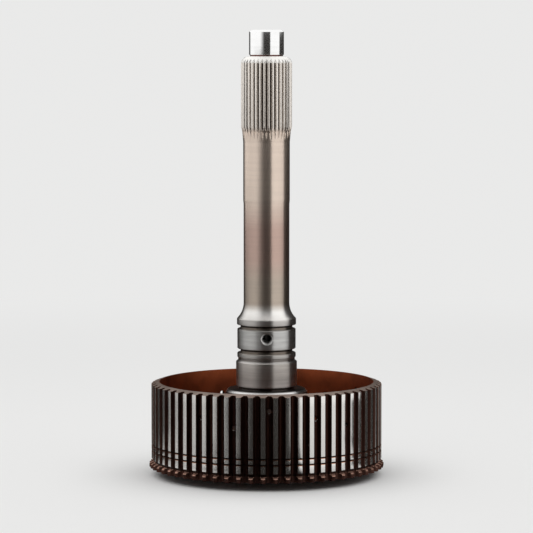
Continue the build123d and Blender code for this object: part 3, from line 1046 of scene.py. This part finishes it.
makeShaftMaterial(shaftPiece, shaftFinish)
makeHubMaterial(hubPiece, hubFinish, hub)
makeRingMaterial("bearingBronze", bushingPiece, bushing, ringFinish)
makeRingMaterial("plugSteel", plugPiece, plug, ringFinish)
print("materials made")


# Each piece rides on the one body, and stands for the frame's node of the same shape

for piece, node, slot in (
    (shaftPiece, "input_shaft", "ground_steel"),
    (hubPiece, "clutch_hub", "hub_steel"),
    (bushingPiece, "pilot_bushing", "bushing_bronze"),
    (plugPiece, "bore_plug", "plug_steel"),
):
    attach(piece, "root")
    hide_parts(node)


# Studio. Bearings are degrees round from the camera, to the right, as seen from the shaft.

studio = {
    "cameraTurn": -1.37,
    "cameraDistance": 1.7042,
    "cameraHeight": 0.2706,
    "cameraTilt": 4.71,
    "lens": 185.26,
    "paleColour": (0.82, 0.82, 0.815),
    # how strongly the pale surroundings light the floor, and show in metal
    "fillLevel": 0.35,
    "mirrorLevel": 1.32,
    "floorColour": (0.87, 0.87, 0.865),
    "floorRadius": 8.0,
    "floorSides": 64,
    "floorDrop": 0.0001,
    "fadeFrom": 0.12,
    "fadeTo": 1.20,
    # height, width and brightness of the light over the floor, which metal doesn't see
    "topLight": (1.3, 2.6, 1.2),
    # for each dark card its first and last bearing, distance, lower and upper edge, inner edge of
    # its apron on the floor, how far its first, last and top edges pass softly, and its opacity
    "cards": {
        "frontCard": (-44.0, 25.5, 0.21, 0.0, 0.38, 0.076, 32.0, 1.5, 0.04, 1.0),
        "frontVeil": (-56.0, -14.0, 0.20, 0.001, 0.235, 0.10, 26.0, 6.0, 0.05, 0.6),
        "rightCard": (91.0, 181.5, 0.30, 0.0, 0.34, 0.076, 6.0, 0.1, 0.04, 1.0),
        "rightLowCard": (78.0, 98.0, 0.298, 0.001, 0.045, 0.16, 6.0, 0.1, 0.012, 1.0),
        "rightFloorCard": (69.0, 98.0, 0.19, 0.0012, 0.004, 0.08, 6.0, 0.1, 0.001, 1.0),
        "leftLowCard": (-178.7, -70.0, 0.30, 0.0, 0.15, 0.076, 0.1, 44.0, 0.06, 1.0),
        "leftHighCard": (-178.7, -122.0, 0.32, 0.06, 0.34, 0.32, 0.1, 24.0, 0.04, 1.0),
        "leftVeil": (-95.0, -20.0, 0.26, 0.0, 0.26, 0.10, 12.0, 10.0, 0.14, 0.35),
    },
    "cardColour": (0.035, 0.033, 0.031),
    "cardColumns": 49,
    "cardLift": 0.0006,
}


def bearingPoint(bearing, distance, height):
    a = np.radians(bearing + studio["cameraTurn"])
    return np.stack([distance * np.sin(a), -distance * np.cos(a), height + 0 * a], axis=-1)


def makeTopLight():
    height, width, brightness = studio["topLight"]
    light = bpy.data.lights.new("topLight", "AREA")
    light.size = width
    light.energy = brightness * np.pi * width**2
    panel = addObject("topLight", light)
    panel.location = (0, 0, height)
    panel.visible_camera = False
    panel.visible_glossy = False


def makeSheet(name, points, faces):
    mesh = bpy.data.meshes.new(name)
    mesh.from_pydata(points.tolist(), [], faces)
    sheet = addObject(name, mesh)
    return sheet, *newMaterial(name, sheet)


def makeCard(name, options):
    # a curved card: bearing runs along it, and its rows are the apron's inner edge on the floor,
    # the card's lower edge and its upper one
    first, last, distance, low, high, apron, softFirst, softLast, softTop, opacity = options
    bearings = np.linspace(first, last, studio["cardColumns"])
    low += studio["cardLift"]
    rows = [(apron, low), (distance, low), (distance, high)]
    points = np.concatenate([bearingPoint(bearings, reach, height) for reach, height in rows])
    count = len(bearings)
    ids = np.arange(count - 1)
    strip = np.stack([ids, ids + 1, ids + 1 + count, ids + count], axis=1)
    faces = np.concatenate([strip, strip + count]) if apron < distance else strip + count
    card, tree, shader, place = makeSheet(name, points, faces.tolist())
    # bearing = arctan(x / -y), less the camera's own turn
    parts = addNode(tree, "ShaderNodeSeparateXYZ", {0: place}).outputs
    bearing = addMath(tree, "ARCTAN2", parts[0], addProduct(tree, parts[1], -1.0))
    start, end = (np.radians(limit + studio["cameraTurn"]) for limit in (first, last))
    alpha = addProduct(
        tree,
        addStep(tree, bearing, start, start + np.radians(softFirst)),
        addStep(tree, bearing, end, end - np.radians(softLast)),
        addStep(tree, parts[2], high, high - softTop),
        opacity,
    )
    setInputs(tree, shader, {
        "Base Color": (0, 0, 0, 1),
        "Specular IOR Level": 0,
        "Emission Color": (*studio["cardColour"], 1),
        "Emission Strength": 1,
        "Alpha": alpha,
    })
    card.visible_camera = False
    card.visible_diffuse = False
    card.visible_shadow = False


def seenStrength(tree, fill):
    # 1 for what the camera sees, the mirror level for what metal sees, and fill for what only
    # lights the floor
    path = addNode(tree, "ShaderNodeLightPath", {}).outputs
    seen = addProduct(tree, path["Is Camera Ray"], 1 - fill)
    mirrored = addProduct(tree, path["Is Glossy Ray"], studio["mirrorLevel"] - fill)
    return addMath(tree, "ADD", addMath(tree, "ADD", seen, mirrored), fill)


def makeFloor():
    # plain pale floor, which passes into the pale surroundings far from the object
    radius = studio["floorRadius"]
    a = np.linspace(0, 2 * np.pi, studio["floorSides"], endpoint=False)
    rim = np.stack([radius * np.cos(a), radius * np.sin(a), 0 * a - studio["floorDrop"]], axis=1)
    floor, tree, shader, place = makeSheet("floor", rim, [list(range(len(a)))])
    colour = (*studio["floorColour"], 1)
    setInputs(tree, shader, {"Base Color": colour, "Roughness": 1, "Specular IOR Level": 0})
    inputs = {"Color": (*studio["paleColour"], 1), "Strength": seenStrength(tree, 0)}
    glow = addNode(tree, "ShaderNodeEmission", inputs)
    distance = axisDistance(tree, place)[0]
    fade = addStep(tree, distance, studio["fadeFrom"], studio["fadeTo"])
    inputs = {0: fade, 1: shader.outputs[0], 2: glow.outputs[0]}
    mixed = addNode(tree, "ShaderNodeMixShader", inputs)
    setInputs(tree, tree.nodes["Material Output"], {"Surface": mixed.outputs[0]})


def makeWorld():
    world = bpy.data.worlds.new("studio")
    bpy.context.scene.world = world
    world.use_nodes = True
    tree = world.node_tree
    strength = seenStrength(tree, studio["fillLevel"])
    inputs = {"Color": (*studio["paleColour"], 1), "Strength": strength}
    setInputs(tree, tree.nodes["Background"], inputs)


def makeCamera():
    data = bpy.data.cameras.new("camera")
    data.sensor_width = 36
    data.lens = studio["lens"]
    camera = addObject("camera", data)
    camera.location = bearingPoint(0, studio["cameraDistance"], studio["cameraHeight"])
    tilt, turn = np.radians(90 - studio["cameraTilt"]), np.radians(studio["cameraTurn"])
    camera.rotation_euler = (tilt, 0, turn)
    bpy.context.scene.camera = camera


for name, options in studio["cards"].items():
    makeCard(name, options)
makeTopLight()
makeFloor()
makeWorld()
makeCamera()
bpy.context.scene.view_settings.view_transform = "Standard"
print("studio made")
